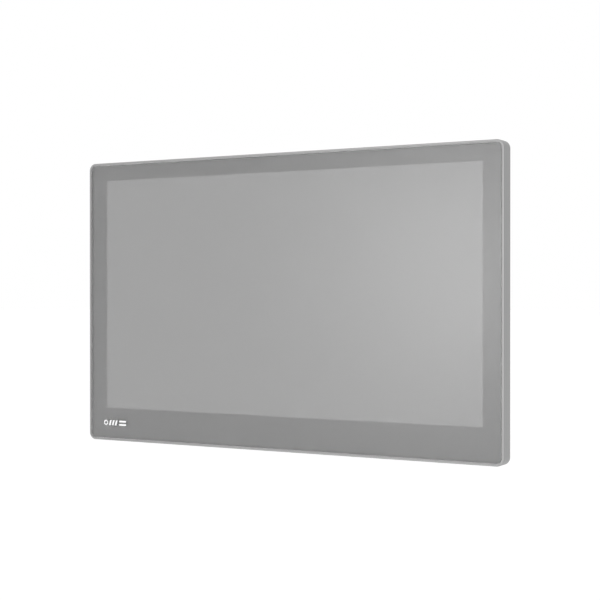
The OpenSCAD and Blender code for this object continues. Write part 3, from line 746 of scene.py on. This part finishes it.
def buildRockerSigns():
    look = rocker
    slope = math.atan2(look["tipDrop"], look["halfLength"])
    tilt = math.radians(look["tilt"])

    def onFace(side, shape):
        points = []
        for u, v, w in shape[0]:
            x = side * look["signAt"] + u * math.cos(slope) + side * w * math.sin(slope)
            z = (look["crown"] - look["signAt"] * math.tan(slope)
                 - side * u * math.sin(slope) + w * math.cos(slope))
            points.append((look["pivot"][0] + x * math.cos(tilt) + z * math.sin(tilt),
                           look["pivot"][1] + v,
                           look["pivot"][2] - x * math.sin(tilt) + z * math.cos(tilt)))
        return points, shape[1]

    top, bottom = 0.02 * mm, -look["raise"]
    across, along = look["barHalf"]
    bar = [(-across, -along), (across, -along), (across, along), (-across, along)]
    barShape = skinRings([[(u, v, w) for u, v in bar] for w in (top, bottom)], capFirst=True, capLast=True)
    outer, inner = look["ringRadii"]
    loops = [[(u, v, w) for u, v in circlePoints(0, 0, r, 36)]
             for r, w in ((outer, top), (outer, bottom), (inner, bottom), (inner, top))]
    shapes = [onFace(-1, barShape), onFace(1, skinRings(loops, loop=True))]
    addPiece("rockerSigns", joinShapes(shapes), "switch_black", "rocker_paddle", finish="mark_ink")


# sockets: contacts, and the thin metal shell of the fifteen-way socket
sockets = {
    "padLength": 4.0 * mm,
    "padThick": 0.03 * mm,
    "padsFrom": 2.6 * mm,           # above the socket's mouth
    "hdmi": {"node": "hdmi_port", "pads": 10, "pitch": 1.0 * mm, "wide": 0.45 * mm, "half": 0.9 * mm},
    "usb": {"node": "usb_port", "pads": 2, "pitch": 2.4 * mm, "wide": 1.1 * mm, "half": 1.6 * mm},
    "vgaShell": {"size": (16.9 * mm, 8.6 * mm), "wall": 0.13 * mm, "corner": 2.1 * mm,
                 "reach": 5.0 * mm},
}


def blockShape(xFrom, xTo, yFrom, yTo, zFrom, zTo):
    return extrudeOutline([(xFrom, zFrom), (xTo, zFrom), (xTo, zTo), (xFrom, zTo)], yFrom, yTo)


def buildContacts(kind):
    look = sockets[kind]
    low, _, _, middle = boxSize(look["node"])
    start = low.z + sockets["padsFrom"]
    shapes = []
    for i in range(look["pads"]):
        x = middle.x + (i - (look["pads"] - 1) / 2) * look["pitch"]
        for side in (-1, 1):
            face = middle.y + side * look["half"]
            shapes.append(blockShape(x - look["wide"] / 2, x + look["wide"] / 2,
                                     face - sockets["padThick"], face + sockets["padThick"],
                                     start, start + sockets["padLength"]))
    addPiece(kind + "Contacts", joinShapes(shapes), "port_shell", finish="contact_gold")


def buildVgaShell():
    look = sockets["vgaShell"]
    _, _, _, middle = boxSize("vga_standoffs")
    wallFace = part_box("rear_housing")[0].z
    width, height = look["size"]

    def level(inset, z):
        flat = roundRing(width - 2 * inset, height - 2 * inset, look["corner"] - inset, 0)
        return [(middle.x + x, middle.y + across, z) for x, _, across in flat]

    tip, root = wallFace - look["reach"] - 0.05 * mm, wallFace + mm
    rings = [level(0, root), level(0, tip), level(look["wall"], tip), level(look["wall"], root)]
    addPiece("vgaShell", skinRings(rings, loop=True), "port_shell")


# rivets on the blank plate
rivet = {"radius": 1.5 * mm, "height": 0.55 * mm, "inset": (3 * mm, 3 * mm)}


def buildRivets():
    low, high, _, _ = boxSize("rating_plate")
    shapes = []
    for x in (low.x + rivet["inset"][0], high.x - rivet["inset"][0]):
        for z in (low.z + rivet["inset"][1], high.z - rivet["inset"][1]):
            dome = [turnedRing(x, z, high.y + rivet["height"] * math.sin(t),
                               rivet["radius"] * math.cos(t), 24) for t in (0, 0.3, 0.6, 0.9, 1.2, 1.45)]
            dome.insert(0, turnedRing(x, z, high.y - 0.2 * mm, rivet["radius"], 24))
            shapes.append(skinRings(dome, capFirst=True, capLast=True))
    addPiece("plateRivets", joinShapes(shapes), "plate_aluminium", finish="screw_steel", sharp=50)


def layFloor():
    z, count = cadLow.z - studio["floorDrop"], 64
    edge = circlePoints(0, 0, studio["floorRadius"], count)
    mesh = bpy.data.meshes.new("floor")
    mesh.from_pydata([(x, y, z) for x, y in edge], [], [tuple(range(count))])
    paper = makeFinish("floorPaper", grey(0.93), grey(0.97), (0.8, 0.9), grain=60, cloud=4, bump=0.0)
    shader = next(n for n in paper.node_tree.nodes if n.type == "BSDF_PRINCIPLED")
    shader.inputs["Emission Color"].default_value = (1, 1, 1, 1)
    shader.inputs["Emission Strength"].default_value = 0.12
    mesh.materials.append(paper)
    floor = bpy.data.objects.new("floor", mesh)
    bpy.context.scene.collection.objects.link(floor)


# assembly
placeCamera()
lightStudio()
layFloor()
print("camera, light and floor set")

dressCadNodes()
buildFrontFrame()
buildGlass()
buildDisplayFace()
buildMark()
buildGasket()
print("front built")

for place in clampPlaces:
    buildClampScrew(place)
    buildClampPad(place)
print("clamps built")

for keyNode, keySign in rearKey["signs"].items():
    buildRearKey(keyNode, keySign)
buildRockerSigns()
print("keys and rocker signs built")

buildContacts("hdmi")
buildContacts("usb")
buildVgaShell()
buildRivets()
print("sockets and plate built")
